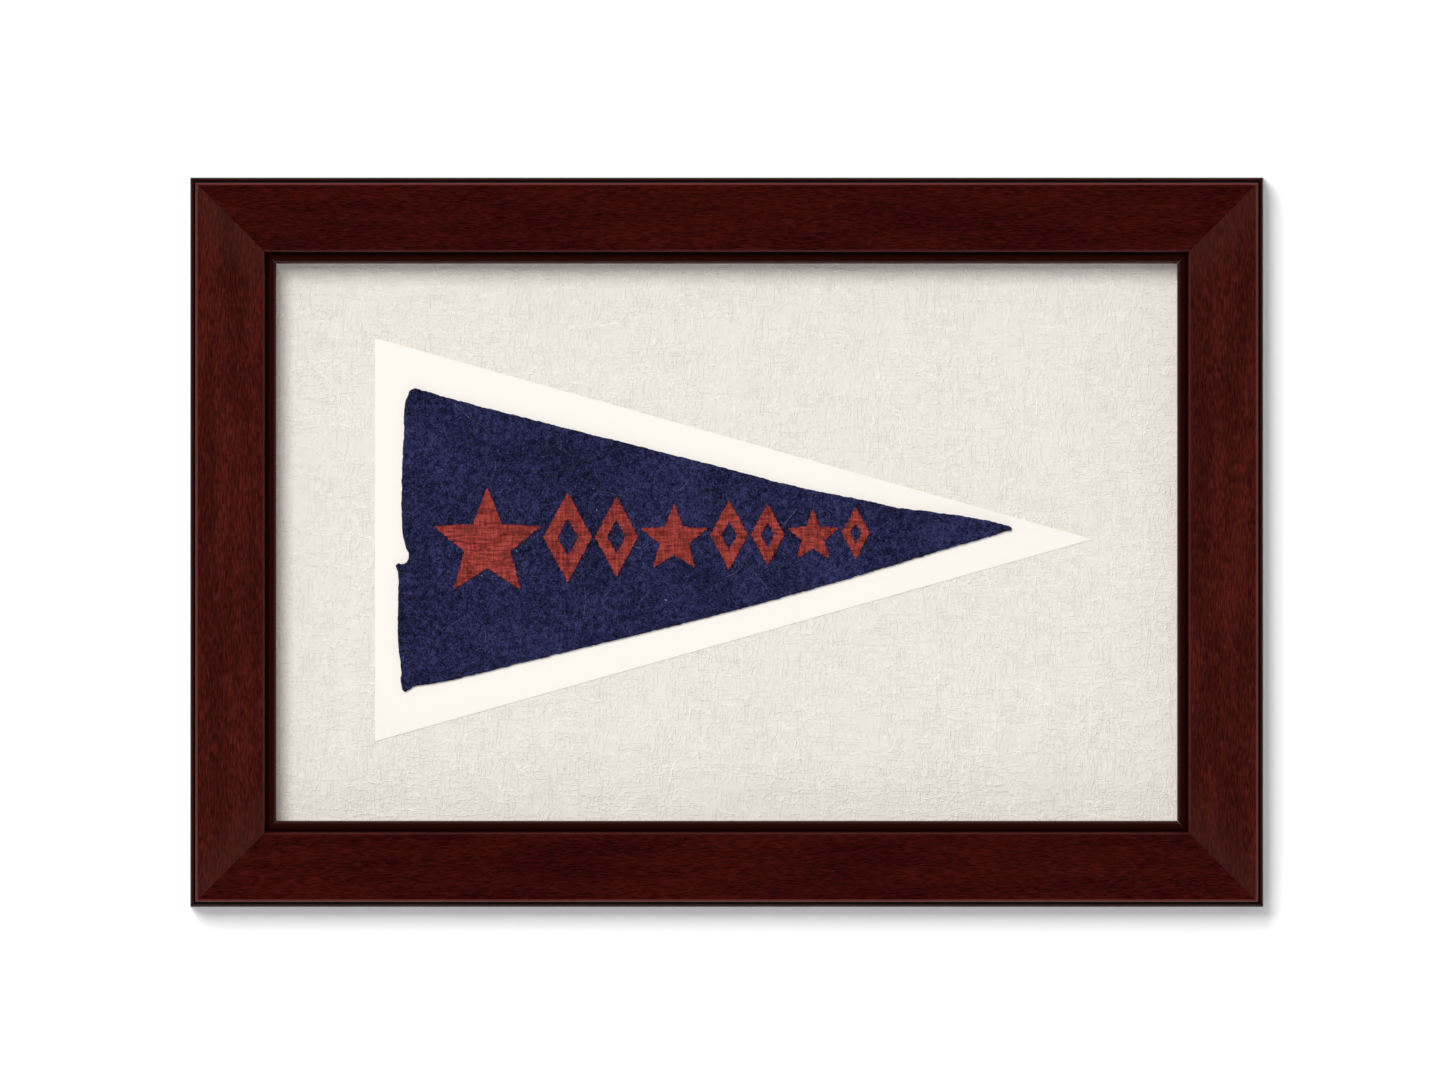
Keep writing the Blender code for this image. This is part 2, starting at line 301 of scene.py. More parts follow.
def mahogany(name, upright, tones, mitre_sheen):
    """Stained and lacquered mahogany, its grain along X, or along Z where it is upright."""
    material, graph, feed = new_material(name, {"Specular IOR Level": 0.2})
    dark, middle, bright = (lit(tone) for tone in tones)

    def stretched(along, across, offset=0.0):
        scale = (across, across, along) if upright else (along, across, across)
        return graph.place(scale, offset)

    half_span = (cad_high.x if upright else cad_high.z)
    half_length = (cad_high.z if upright else cad_high.x)
    across = half_span - abs(graph.axis("X" if upright else "Z"))
    to_mitre = half_length - abs(graph.axis("Z" if upright else "X")) - across

    wander = graph.warp(stretched(180, 1500), stretched(80, 150), 1.8)
    streaks = graph.noise(wander, 2.0, 0.6)
    fine = graph.noise(graph.warp(stretched(260, 2400, 5.0), stretched(120, 200), 1.5), 1.0, 0.5)
    bands = graph.noise(graph.warp(stretched(14, 120, 3.0), stretched(30, 60), 0.6), 3.0, 0.55)
    pores = graph.noise(stretched(210, 2000, 8.0), 1.0, 0.5)
    tone = (streaks.fade(0.32, 0.68) * 0.48 + fine.fade(0.32, 0.68) * 0.24
            + bands.fade(0.28, 0.72) * 0.28)
    colour = tone.ramp((0.14, dark), (0.50, middle), (0.84, bright))
    colour = graph.mix(pores.fade(0.56, 0.68) * 0.55, colour, dark)
    # Greyer towards the mitres, by the last argument: painted sheen, used on the upright rails.
    near_mitre = 1.0 - to_mitre.fade(2 * MM, 34 * MM)
    colour = graph.mix(near_mitre * mitre_sheen, colour, lit((0.040, 0.0125, 0.0095)))
    bare = graph.mix(0.5, colour, BARE_WOOD)
    # Near black in the outer groove: partly a dark stain, partly painted shade of the groove.
    groove = band(across, OUTER_BEAD_RADIUS + 0.1 * MM, 0.35 * MM, 0.45 * MM)
    # A lighter line along the face's outer rounded edge: a painted highlight.
    outer_arris_highlight = band(across, OUTER_BEAD_RADIUS + OUTER_QUIRK + 0.7 * MM, 0.35 * MM, 0.45 * MM)
    # A lighter line along the face's inner rounded edge: a painted highlight.
    inner_arris_highlight = band(across, FACE_INNER_EDGE - 0.45 * MM, 0.25 * MM, 0.4 * MM)
    raised = (0.0 - graph.axis("Y")).fade(OUTER_BEAD_TOP - 5 * MM, OUTER_BEAD_TOP - 2 * MM)
    rim = (1.0 - (across - 1.2 * MM).fade(0.0, 0.6 * MM)) * raised
    # Darker over the inner step and bead: partly a darker finish, partly painted shade of the recess.
    inner_step_stain_and_shade = (across - (FACE_INNER_EDGE + 0.1 * MM)).fade(0.0, 0.4 * MM)
    # A lighter line on the inner bead near the sight edge: painted sheen.
    bead_sheen = band(across, MOULDING_WIDTH - 0.8 * MM, 0.3 * MM, 0.5 * MM)
    colour = graph.mix(outer_arris_highlight * 0.8, colour, lit(ARRIS_HIGHLIGHT))
    colour = graph.mix(inner_arris_highlight * 0.45, colour, lit((0.085, 0.017, 0.014)))
    colour = graph.mix(rim, colour, lit((0.026, 0.0028, 0.0024)))
    colour = graph.mix(inner_step_stain_and_shade, colour, lit((0.016, 0.0019, 0.0015)))
    colour = graph.mix(bead_sheen * inner_step_stain_and_shade * 0.7, colour, lit((0.040, 0.0060, 0.0050)))
    colour = graph.mix(groove, colour, (0.0006, 0.0002, 0.0002))
    colour = graph.mix((graph.axis("Y") + 2 * MM).fade(0.0, 1 * MM), colour, bare)
    feed(Base_Color=colour, Roughness=streaks * 0.10 + 0.17 + groove * 0.6,
         Normal=graph.bump(streaks + pores * 0.4, 0.04 * MM, 0.4))
    return material


def linen_cloth(name, tone):
    """Off-white linen: wandering raised threads, tan specks in rows and a fine plain weave."""
    material, graph, feed = new_material(name, {"Roughness": 0.92, "Specular IOR Level": 0.12})
    colour = lit(tone)

    def worms(scale, offset, twist, width):
        """Raised lines along the middle level of a bent noise."""
        path = graph.warp(graph.place(scale, offset), graph.place(140, offset), twist)
        return 1.0 - abs(graph.noise(path, 1.0, 0.5) - 0.5).fade(0.0, width)

    def broken(scale, offset):
        """Where a worm shows, so that each is a short length of thread."""
        return graph.noise(graph.place(scale, offset), 1.0, 0.5).fade(0.38, 0.50)

    threads = (worms((200, 200, 200), 1.0, 1.5, 0.06) * broken((70, 70, 70), 11.0) * 0.36
               + worms((330, 200, 70), 3.0, 0.9, 0.06) * broken((90, 90, 40), 13.0) * 0.46
               + worms((70, 200, 330), 5.0, 0.9, 0.06) * broken((40, 90, 90), 15.0) * 0.40
               + worms((420, 200, 420), 7.0, 1.8, 0.07) * broken((120, 120, 120), 17.0) * 0.24)
    upright_lines = graph.noise(graph.place((900, 620, 45)), 2.0, 0.6)
    level_lines = graph.noise(graph.place((45, 620, 900), 2), 2.0, 0.6)
    patches = graph.noise(graph.place(28), 3.0, 0.55)
    grain = graph.noise(graph.place(1700), 1.0, 0.5)
    specks = 1.0 - graph.node("ShaderNodeTexVoronoi", None,
                              {"Vector": graph.place((120, 1, 300)), "Scale": 1.0,
                               "Randomness": 0.45}).fade(0.07, 0.15)
    chosen = graph.noise(graph.place((90, 90, 22), 9), 1.0, 0.5).fade(0.54, 0.60)
    # The raised threads are lighter in colour too: a painted highlight along them.
    shade = (0.905 + upright_lines * 0.055 + level_lines * 0.055 + threads * 0.085
             + patches * 0.03 + grain * 0.02)
    base = graph.mix(patches.fade(0.35, 0.65), scaled(colour, 1.0, 0.995, 0.99),
                     scaled(colour, 1.0, 1.0, 1.01))
    base = graph.mix(specks * chosen * 0.38, graph.tint(base, shade), lit(TAN_SPECK))
    relief = threads * 1.6 + upright_lines * 0.45 + level_lines * 0.45 + grain * 0.15
    feed(Base_Color=base, Normal=graph.bump(relief, 0.40 * MM, 0.7))
    return material


def smooth_card(name, tone):
    """Cream mount card with a faint tooth."""
    material, graph, feed = new_material(name, {"Specular IOR Level": 0.25})
    tooth = graph.noise(graph.place(1500), 3.0, 0.6)
    cloud = graph.noise(graph.place(35), 2.0, 0.5)
    base = graph.mix(cloud, lit(scaled(tone, 0.992)), lit(tone))
    feed(Base_Color=base, Roughness=tooth * 0.1 + 0.72,
         Normal=graph.bump(tooth, 0.03 * MM, 0.35))
    return material


def wool_felt(name):
    """Navy wool felt: matted lumps, lighter and darker fibres and a few brown ones."""
    material, graph, feed = new_material(name, {"Roughness": 0.95, "Specular IOR Level": 0.1,
                                                "Sheen Weight": 0.12, "Sheen Roughness": 0.5,
                                                "Sheen Tint": (0.45, 0.5, 1.0, 1.0)})
    matted = graph.noise(graph.warp(graph.place(330), graph.place(420), 1.2), 3.0, 0.65)
    fibres = graph.noise(graph.warp(graph.place(1250), graph.place(450), 5.0), 2.0, 0.7)
    tangle = graph.noise(graph.warp(graph.place(420, 5), graph.place(260), 1.6), 2.0, 0.6)
    wisps = 1.0 - abs(tangle - 0.5).fade(0.0, 0.05)
    clouds = graph.noise(graph.place(45, 3), 2.0, 0.5)
    brown = graph.noise(graph.place(700, 6), 2.0, 0.6).fade(0.62, 0.72)
    tone = matted * 0.31 + fibres * 0.57 + clouds * 0.12
    colour = tone.ramp(*zip((0.425, 0.50, 0.575), NAVY_FELT))
    colour = graph.mix(wisps * 0.30, colour, (0.036, 0.040, 0.125))
    colour = graph.mix(brown * 0.55, colour, (0.024, 0.014, 0.012))
    feed(Base_Color=colour, Normal=graph.bump(fibres + matted * 1.2, 0.9 * MM, 0.9))
    return material


def fibre(name, dark, light):
    """Loose fibres, each a little lighter or darker than the next."""
    material, graph, feed = new_material(name, {"Roughness": 0.8, "Specular IOR Level": 0.2})
    tone = graph.noise(graph.place(400), 1.0, 0.5)
    feed(Base_Color=tone.ramp((0.35, dark), (0.65, light)))
    return material


def red_weave(name):
    """Brick red cotton: each yarn has its own tone, with faint brown stains and dark lines of painted
    crease shade.
    """
    material, graph, feed = new_material(name, {"Roughness": 0.88, "Specular IOR Level": 0.15,
                                                "Sheen Weight": 0.1})
    strands = graph.noise(graph.place((110, 400, 900)), 2.0, 0.65)
    ends = graph.noise(graph.place((900, 400, 150), 4), 2.0, 0.65)
    stains = graph.noise(graph.place(110, 2), 4.0, 0.65).fade(0.52, 0.70)
    twist = graph.noise(graph.place(2600), 1.0, 0.5)
    tone = strands * 0.42 + ends * 0.33 + twist * 0.25
    colour = tone.ramp(*zip((0.40, 0.50, 0.60), (lit(red) for red in RED_COTTON)))
    # Dark lines where the cloth would crease: painted shade; the yarns under them lie flat.
    crease_paths = graph.noise(graph.warp(graph.place(55, 8), graph.place(160), 0.5), 1.0, 0.5)
    crease_shade = 1.0 - abs(crease_paths - 0.5).fade(0.004, 0.016)
    colour = graph.mix(stains * 0.55, colour, lit((0.11, 0.032, 0.021)))
    colour = graph.mix(crease_shade * 0.6, colour, lit((0.075, 0.012, 0.010)))
    feed(Base_Color=colour, Normal=graph.bump(twist, 0.1 * MM, 0.6))
    return material


def fibreboard(name):
    """Plain brown board for the back, with pressed fibres."""
    material, graph, feed = new_material(name, {"Roughness": 0.9, "Specular IOR Level": 0.2})
    mottle = graph.noise(graph.place(110), 4.0, 0.6)
    chips = graph.noise(graph.warp(graph.place((700, 700, 260)), graph.place(150), 3.0), 2.0, 0.6)
    tone = mottle * 0.35 + chips * 0.65
    feed(Base_Color=tone.ramp(*zip((0.38, 0.50, 0.62), BROWN_BOARD)),
         Normal=graph.bump(chips, 0.1 * MM, 0.5))
    return material


def plain_wall(name):
    """The pale wall, which can be seen through from behind."""
    material, graph, _ = new_material(name, {"Base Color": (0.97, 0.97, 0.97, 1.0),
                                             "Roughness": 1.0, "Specular IOR Level": 0.0})
    behind = graph.node("ShaderNodeNewGeometry", output="Backfacing")
    clear = graph.node("ShaderNodeBsdfTransparent")
    shown = Signal(graph, graph.tree.nodes["Principled BSDF"].outputs[0])
    both = graph.node("ShaderNodeMixShader", None, {0: behind, 1: shown, 2: clear})
    graph.tree.links.new(both.socket, graph.tree.nodes["Material Output"].inputs["Surface"])
    return material


def add_object(name, data):
    """An object in the scene that holds the data."""
    made = bpy.data.objects.new(name, data)
    bpy.context.scene.collection.objects.link(made)
    return made


def add_piece(name, vertices, faces, material, smooth_angle=None):
    """A mesh object at the origin, with its faces turned outwards."""
    mesh = bpy.data.meshes.new(name)
    mesh.from_pydata(vertices, [], faces)
    work = bmesh.new()
    work.from_mesh(mesh)
    bmesh.ops.recalc_face_normals(work, faces=work.faces)
    work.to_mesh(mesh)
    work.free()
    if smooth_angle is not None:
        mesh.shade_smooth()
        mesh.set_sharp_from_angle(angle=math.radians(smooth_angle))
    mesh.materials.append(material)
    return add_object(name, mesh)


def fit(piece, slot, *nodes):
    """Rides the piece on the one body and hides the nodes that it stands for. The slot is not used.
    """
    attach(piece, "root")
    if nodes:
        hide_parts(*nodes)


def arc(centre, radii, start_deg, end_deg):
    angles = np.radians(np.linspace(start_deg, end_deg, ARC_STEPS + 1))
    return [(centre[0] + radii[0] * math.cos(a), centre[1] + radii[1] * math.sin(a)) for a in angles]


def moulding_section():
    """Outline of the moulding: x is across from the outer edge, y is up from the back."""
    face_start = OUTER_BEAD_RADIUS + OUTER_QUIRK
    bead_start = FACE_INNER_EDGE + INNER_QUIRK
    bead_half = (MOULDING_WIDTH - bead_start) / 2
    rabbet_wall = MOULDING_WIDTH - RABBET_WIDTH
    outline = [(BACK_SOFTENING, 0.0), (0.0, BACK_SOFTENING)]
    outline += arc((OUTER_BEAD_RADIUS, OUTER_BEAD_TOP - OUTER_BEAD_RADIUS),
                   (OUTER_BEAD_RADIUS, OUTER_BEAD_RADIUS), 180, 90)
    outline.append((face_start, OUTER_BEAD_TOP - OUTER_QUIRK))
    outline += arc((face_start + FACE_OUTER_RADIUS, MOULDING_DEPTH - FACE_OUTER_RADIUS),
                   (FACE_OUTER_RADIUS, FACE_OUTER_RADIUS), 180, 90)
    outline += arc((FACE_INNER_EDGE - FACE_INNER_RADIUS, MOULDING_DEPTH - FACE_INNER_RADIUS),
                   (FACE_INNER_RADIUS, FACE_INNER_RADIUS), 90, 0)
    outline.append((FACE_INNER_EDGE, INNER_BEAD_FOOT))
    outline += arc((bead_start + bead_half, INNER_BEAD_FOOT), (bead_half, INNER_BEAD_HEIGHT), 180, 0)
    outline += [(MOULDING_WIDTH, RABBET_DEPTH), (rabbet_wall, RABBET_DEPTH), (rabbet_wall, 0.0)]
    return np.array(outline)


def add_rail(side, outward, length, span, material):
    """One mitred rail. Outward points from the picture's centre to the rail, in X and Z."""
    section = moulding_section()
    around = np.roll(section, -1, axis=0) - np.roll(section, 1, axis=0)
    normals = np.stack([-around[:, 1], around[:, 0]], axis=1)
    normals /= np.linalg.norm(normals, axis=1)[:, None]
    shares = np.linspace(-1, 1, RAIL_STEPS + 1)
    lip = 2 * MITRE_GROOVE_WIDTH / length
    shares = np.concatenate([[-1], shares + lip * np.array([1] + [0] * (RAIL_STEPS - 1) + [-1]), [1]])
    vertices = []
    for number, share in enumerate(shares):
        groove = MITRE_GROOVE_DEPTH if number in (0, len(shares) - 1) else 0.0
        for index, ((across, height), normal) in enumerate(zip(section, normals)):
            along = share * (length / 2 - across)
            waver = RAIL_WAVER * noise.noise(Vector((along * 45, index * 0.15, span * 9)))
            free = 0 < across < MOULDING_WIDTH - SIGHT_EDGE_CLEAR and height > 1 * MM
            push = waver if free else 0.0
            across_now = across + normal[0] * (push - groove)
            height_now = max(height + normal[1] * (push - groove), 0.0)
            reach = span / 2 - across_now
            vertices.append((outward[0] * reach + outward[1] * along, -height_now,
                             outward[1] * reach - outward[0] * along))
    count = len(section)
    faces = []
    for ring in range(len(shares) - 1):
        for corner in range(count):
            following = (corner + 1) % count
            faces.append((ring * count + corner, ring * count + following,
                          (ring + 1) * count + following, (ring + 1) * count + corner))
    faces.append(tuple(range(count)))
    faces.append(tuple(range((len(shares) - 1) * count, len(shares) * count)))
    rail = add_piece(f"moulding_{side}", vertices, faces, material, 28)
    fit(rail, "mahogany", f"rail_{side}")


def outlines_of(node):
    """Edge loops of a flat CAD sheet's front, as (x, z) points, the longest loop first."""
    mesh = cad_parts[node].data
    front = min(vertex.co.y for vertex in mesh.vertices)
    places = [(round(v.co.x, 6), round(v.co.z, 6)) for v in mesh.vertices]
    steps = set()
    for face in mesh.polygons:
        corners = list(face.vertices)
        if all(abs(mesh.vertices[c].co.y - front) < 0.01 * MM for c in corners):
            steps.update(zip([places[c] for c in corners],
                             [places[c] for c in corners[1:] + corners[:1]]))
    onward = {start: end for start, end in sorted(steps) if (end, start) not in steps}
    loops = []
    while onward:
        start, place = onward.popitem()
        loop = [start]
        while place != start:
            loop.append(place)
            place = onward.pop(place)
        loops.append(np.array(loop))
    return sorted(loops, key=len_of, reverse=True)


def len_of(loop):
    return float(np.linalg.norm(np.roll(loop, -1, axis=0) - loop, axis=1).sum())


def signed_area(loop):
    """Area of a loop, above zero where it runs anticlockwise."""
    ahead = np.roll(loop, -1, axis=0)
    return float((loop[:, 0] * ahead[:, 1] - loop[:, 1] * ahead[:, 0]).sum()) / 2


def nearest_edge(loops, points):
    """How far each point is from the nearest edge of the loops, and where on it that is."""
    nearest = np.full(len(points), 1e9)
    touched = points.copy()
    for loop in loops:
        for start, end in zip(loop, np.roll(loop, -1, axis=0)):
            edge = end - start
            share = np.clip(((points - start) @ edge) / max(edge @ edge, 1e-18), 0, 1)
            foot = start + share[:, None] * edge
            gap = np.linalg.norm(points - foot, axis=1)
            closer = gap < nearest
            nearest[closer] = gap[closer]
            touched[closer] = foot[closer]
    return nearest, touched


def inside(loops, points):
    """Which points lie inside the first loop and outside the others."""
    crossings = np.zeros(len(points), dtype=int)
    for loop in loops:
        for (x0, z0), (x1, z1) in zip(loop, np.roll(loop, -1, axis=0)):
            spans = (z0 > points[:, 1]) != (z1 > points[:, 1])
            with np.errstate(divide="ignore", invalid="ignore"):
                reach = x0 + (points[:, 1] - z0) * (x1 - x0) / (z1 - z0)
            crossings += spans & (points[:, 0] < reach)
    return crossings % 2 == 1


def fitted_grid(loops, spacing):
    """Triangles on a shaken grid whose points near the outline are moved onto it."""
    low, high = loops[0].min(axis=0) - spacing, loops[0].max(axis=0) + spacing
    columns, rows = (int(span / spacing) + 2 for span in high - low)
    grid = np.stack(np.meshgrid(low[0] + spacing * np.arange(columns),
                                low[1] + spacing * np.arange(rows)), axis=-1).reshape(-1, 2)
    grid += np.random.default_rng(SEED).uniform(-0.22, 0.22, grid.shape) * spacing
    first = (np.arange(rows - 1)[:, None] * columns + np.arange(columns - 1)).ravel()
    corners = np.stack([first, first + 1, first + columns + 1, first + columns], axis=1)
    one_way = (first % 2 == 0)[:, None]
    triangles = np.concatenate([np.where(one_way, corners[:, [0, 1, 2]], corners[:, [0, 1, 3]]),
                                np.where(one_way, corners[:, [0, 2, 3]], corners[:, [1, 2, 3]])])
    away, foot = nearest_edge(loops, grid)
    within = inside(loops, grid)
    on_edge = away < 0.4 * spacing
    reaching = (within & ~on_edge)[triangles].any(axis=1)
    on_edge[triangles[reaching].ravel()] |= ~within[triangles[reaching].ravel()]
    grid[on_edge] = foot[on_edge]
    for corner in np.concatenate(loops):
        closest = np.argmin(((grid - corner) ** 2).sum(axis=1))
        grid[closest], on_edge[closest] = corner, True
    kept = on_edge | within
    a, b, c = (grid[triangles[:, i]] for i in range(3))
    turn = (b - a)[:, 0] * (c - a)[:, 1] - (b - a)[:, 1] * (c - a)[:, 0]
    good = (kept[triangles].all(axis=1) & (turn > 0.01 * spacing ** 2)
            & inside(loops, (a + b + c) / 3))
    used, triangles = np.unique(triangles[good], return_inverse=True)
    return grid[used], triangles.reshape(-1, 3)


def add_sheet(name, loops, spacing, back, front, material, smooth_angle=40):
    """A closed sheet. front gives the height of a front point from x, z and its edge distance."""
    points, triangles = fitted_grid(loops, spacing)
    away, _ = nearest_edge(loops, points)
    count = len(points)
    vertices = [(x, -front(x, z, d), z) for (x, z), d in zip(points, away)]
    vertices += [(x, -back, z) for x, z in points]
    faces = [tuple(face) for face in triangles.tolist()]
    steps = {step for face in faces for step in zip(face, face[1:] + face[:1])}
    faces += [tuple(count + corner for corner in reversed(face)) for face in faces]
    faces += [(b, a, count + a, count + b) for a, b in sorted(steps) if (b, a) not in steps]
    return add_piece(name, vertices, faces, material, smooth_angle)


def front_of(node):
    """Height of a CAD sheet's front above the wall."""
    return -node_boxes[node][0].y


def back_of(node):
    return -node_boxes[node][1].y


def lumps(x, z, scale, seed):
    """Smooth noise from -1 to 1 with lumps of about that size in metres."""
    return noise.noise(Vector((x / scale, z / scale, seed)))


def add_linen(cloth):
    """The linen over the board: a fine grid, raised into slubs and stretch ripples."""
    low, high = node_boxes["linen_cover"]
    back, front = back_of("linen_cover"), front_of("linen_cover")
    columns = int((high.x - low.x) / LINEN_GRID)
    rows = int((high.z - low.z) / LINEN_GRID)
    xs = np.linspace(low.x, high.x, columns + 1)
    zs = np.linspace(low.z, high.z, rows + 1)
    vertices = []
    for z in zs:
        for x in xs:
            height = LINEN_WAVE * (lumps(x, z, 26 * MM, 1.0) + 0.5 * lumps(x, z, 9 * MM, 2.0)) / 1.5
            height += LINEN_SLUB * lumps(x * 5, z, 14 * MM, 3.0)
            height += LINEN_SLUB * lumps(x, z * 5, 14 * MM, 4.0)
            vertices.append((x, -(front + height), z))
    faces = []
    for row in range(rows):
        for column in range(columns):
            corner = row * (columns + 1) + column
            faces.append((corner, corner + 1, corner + columns + 2, corner + columns + 1))
    border = list(range(columns + 1))
    border += [row * (columns + 1) + columns for row in range(1, rows + 1)]
    border += [rows * (columns + 1) + column for column in range(columns - 1, -1, -1)]
    border += [row * (columns + 1) for row in range(rows - 1, 0, -1)]
    under = len(vertices)
    vertices += [(vertices[corner][0], -back, vertices[corner][2]) for corner in border]
    size = len(border)
    faces += [(border[i], border[(i + 1) % size], under + (i + 1) % size, under + i)
              for i in range(size)]
    faces.append(tuple(range(under, under + size)))
    linen = add_piece("linen_sheet", vertices, faces, cloth, 60)
    fit(linen, "linen", "linen_cover")
    return linen


def add_card(card):
    """The cut triangle of card, pressed thin along its edges."""
    outline = outlines_of("mount_card")[0]
    back, front = back_of("mount_card"), front_of("mount_card")
    turn = math.copysign(1.0, signed_area(outline))
    rings = [(outline, back)]
    for share in np.linspace(0.0, 1.0, CARD_RINGS):
        height = back + CARD_EDGE + (front - back - CARD_EDGE) * math.sin(share * math.pi / 2)
        rings.append((shrunk(outline, turn * CARD_SLOPE * share), height))
    vertices = [(x, -height, z) for ring, height in rings for x, z in ring]
    count = len(outline)
    faces = [tuple(range(count)), tuple(range(CARD_RINGS * count, (CARD_RINGS + 1) * count))]
    for ring in range(CARD_RINGS):
        for i in range(count):
            j = (i + 1) % count
            faces.append((ring * count + i, ring * count + j,
                          (ring + 1) * count + j, (ring + 1) * count + i))
    piece = add_piece("cream_triangle", vertices, faces, card, 30)
    fit(piece, "cream_card", "mount_card")
    return piece


def felt_height(x, z, edge):
    height = front_of("pennant")
    height += 0.26 * MM * lumps(x, z, 3.0 * MM, 5.0) + 0.18 * MM * lumps(x, z, 1.6 * MM, 6.0)
    height += 0.12 * MM * lumps(x, z, 45 * MM, 7.0)
    return height - FELT_EDGE_DROP * math.exp(-edge / FELT_EDGE_REACH)


def add_felt(cloth):
    loops = outlines_of("pennant")
    felt = add_sheet("felt_pennant", loops, FELT_GRID, back_of("pennant"), felt_height, cloth, 75)
    away, _ = nearest_edge(loops, np.array([(v.co.x, v.co.z) for v in felt.data.vertices]))
    rim = felt.data.attributes.new("rim", "FLOAT", "POINT")
    rim.data.foreach_set("value", np.clip(away / STRAND_REACH, SHORTEST_STRAND, 1.0))
    for vertex in felt.data.vertices:
        x, z = vertex.co.x, vertex.co.z
        vertex.co.x += FELT_EDGE_WANDER * (lumps(x, z, 4 * MM, 11.0) + lumps(x, z, 1.5 * MM, 12.0))
        vertex.co.z += FELT_EDGE_WANDER * (lumps(x, z, 4 * MM, 13.0) + lumps(x, z, 1.5 * MM, 14.0))
    fit(felt, "navy_felt", "pennant")
    return felt


def add_tube(vertices, faces, points, half_width, half_height, sideways):
    """Adds a closed oval tube along the points, wide along the sideways direction."""
    angles = np.linspace(0, 2 * math.pi, YARN_SIDES, endpoint=False)
    rings = points[:, None, :] + np.cos(angles)[None, :, None] * half_width * np.array(sideways)
    rings[:, :, 1] += np.sin(angles)[None, :] * half_height
    first = len(vertices)
    last = first + (len(points) - 1) * YARN_SIDES
    vertices += [tuple(vertex) for ring in rings for vertex in ring]
    for here in range(first, last, YARN_SIDES):
        for side in range(YARN_SIDES):
            following = (side + 1) % YARN_SIDES
            faces.append((here + side, here + following,
                          here + YARN_SIDES + following, here + YARN_SIDES + side))
    faces.append(tuple(first + side for side in range(YARN_SIDES)))
    faces.append(tuple(last + side for side in range(YARN_SIDES)))


def crossings_of(loops, level, axis):
    """Where a straight line at that level crosses the loops, in order. Axis 0 is an upright line."""
    found = []
    for loop in loops:
        for start, end in zip(loop, np.roll(loop, -1, axis=0)):
            if (start[axis] > level) != (end[axis] > level):
                share = (level - start[axis]) / (end[axis] - start[axis])
                found.append(start[1 - axis] + share * (end[1 - axis] - start[1 - axis]))
    return sorted(found)


def add_yarns(name, loops, middle, cloth):
    """Plain weave cut to the loops, level weft and then upright warp, with uneven ends."""
    shaker = np.random.default_rng(SEED + len(name) + int(abs(loops[0][0][0]) * 1e5))
    low, high = loops[0].min(axis=0), loops[0].max(axis=0)
    vertices, faces = [], []
    kinds = ((1, WEFT_SIZE, WEFT_RISE), (0, WARP_SIZE, WARP_RISE))
    for axis, (half_width, half_height), rise in kinds:
        levels = np.arange(math.ceil(low[axis] / YARN_PITCH),
                           math.floor(high[axis] / YARN_PITCH) + 1)
        for number in levels:
            level = number * YARN_PITCH
            ends = crossings_of(loops, level, axis)
            for start, end in zip(ends[::2], ends[1::2]):
                start -= shaker.uniform(-0.25, 0.6) * MM
                end += shaker.uniform(-0.25, 0.6) * MM
                steps = max(2, round((end - start) / (YARN_PITCH / 2)))
                run = np.linspace(start, end, steps + 1)
                over = np.cos(math.pi * (run / YARN_PITCH + number))
                points = np.zeros((len(run), 3))
                points[:, 0 if axis else 2] = run
                points[:, 2 if axis else 0] = level + shaker.normal(0, 0.035, len(run)) * MM
                points[:, 1] = -(middle + rise * over)
                sideways = (0, 0, 1) if axis else (1, 0, 0)
                add_tube(vertices, faces, points, half_width, half_height, sideways)
    return add_piece(name, vertices, faces, cloth, 60)


def shrunk(loop, by):
    """An anticlockwise loop moved inwards by that much, or a clockwise one outwards."""
    edges = np.roll(loop, -1, axis=0) - loop
    edges /= np.linalg.norm(edges, axis=1)[:, None]
    before = np.roll(edges, 1, axis=0)
    inward = np.stack([-(edges[:, 1] + before[:, 1]), edges[:, 0] + before[:, 0]], axis=1)
    inward /= np.maximum((inward * inward).sum(axis=1), 0.1)[:, None] / 2
    return loop + inward * by


def add_motifs(cloth, shade):
    """Each motif is a thin dark sheet, painted shade that shows between the yarns and as a dark rim
    at the cut edges, with woven yarns over it.
    """
    for node in sorted(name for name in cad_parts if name.startswith("motif_")):
        loops = outlines_of(node)
        back = back_of(node) - GROUND_SINK
        wider = [shrunk(loop, -GROUND_EDGE) for loop in loops]
        ground = add_sheet(node.replace("motif", "cloth"), wider, 1 * MM, back,
                           lambda x, z, edge: back + GROUND_THICKNESS, shade, 30)
        yarns = add_yarns(node.replace("motif", "yarns"), loops, back + YARN_HEIGHT, cloth)
        fit(ground, "red_cloth", node)
        fit(yarns, "red_cloth")


def geometry_graph(name, sizes):
    """A geometry tree with a float input for each size, its graph and its input signals."""
    tree = bpy.data.node_groups.new(name, "GeometryNodeTree")
    tree.interface.new_socket("Surface", in_out="INPUT", socket_type="NodeSocketGeometry")
    for size in sizes:
        tree.interface.new_socket(size, in_out="INPUT", socket_type="NodeSocketFloat")
    tree.interface.new_socket("Result", in_out="OUTPUT", socket_type="NodeSocketGeometry")
    graph = Graph(tree)
    group = tree.nodes.new("NodeGroupInput")
    signals = {socket.name: Signal(graph, socket) for socket in group.outputs if socket.name}
    return graph, signals


def finish_tree(graph, grown, material):
    """Ends the tree in real geometry of that material."""
    real = graph.node("GeometryNodeRealizeInstances", None, {0: grown})
    painted = graph.node("GeometryNodeSetMaterial", None, {"Geometry": real, "Material": material})
    end = graph.tree.nodes.new("NodeGroupOutput")
    graph.tree.links.new(painted.socket, end.inputs[0])


